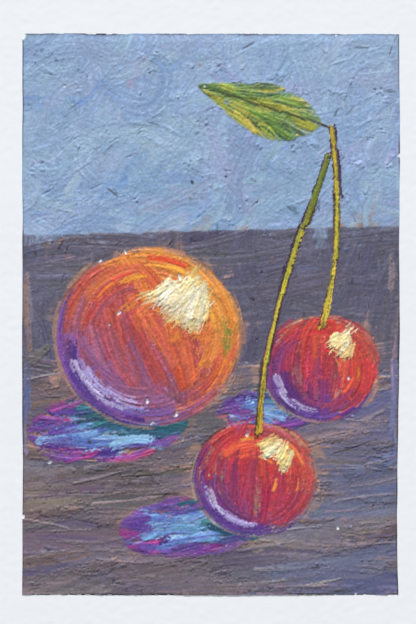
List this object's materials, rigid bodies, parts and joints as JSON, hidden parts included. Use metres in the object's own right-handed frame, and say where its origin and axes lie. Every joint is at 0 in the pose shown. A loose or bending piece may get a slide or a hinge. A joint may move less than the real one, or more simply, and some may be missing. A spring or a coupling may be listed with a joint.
{
  "type": "oil pastel painting on paper",
  "caption": "Small portrait-format fruit still life in thick oil pastel on a sheet of heavy white paper, with a bare masked margin all round.",
  "frame": {"origin": "middle of the sheet's back face, which is the face the sheet rests on", "axes": "+X to the picture's right, +Y to the picture's top, +Z out of the painted face"},
  "size_m": [0.127, 0.1778, 0.0015],
  "materials": {
    "paper": "matte",
    "wall_pastel": "satin",
    "table_pastel": "satin",
    "apricot_pastel": "satin",
    "cherry_pastel": "satin",
    "shadow_pastel": "satin",
    "stalk_pastel": "satin",
    "leaf_pastel": "satin",
    "highlight_pastel": "satin"
  },
  "bodies": {
    "root": {"paper_sheet": "paper", "wall_paint": "wall_pastel", "table_paint": "table_pastel", "apricot_paint": "apricot_pastel", "front_cherry_paint": "cherry_pastel", "back_cherry_paint": "cherry_pastel", "apricot_shadow_paint": "shadow_pastel", "front_cherry_shadow_paint": "shadow_pastel", "back_cherry_shadow_paint": "shadow_pastel", "front_stalk_paint": "stalk_pastel", "back_stalk_paint": "stalk_pastel", "leaf_paint": "leaf_pastel", "apricot_highlight_paint": "highlight_pastel", "front_cherry_highlight_paint": "highlight_pastel", "back_cherry_highlight_paint": "highlight_pastel"}
  },
  "joints": []
}
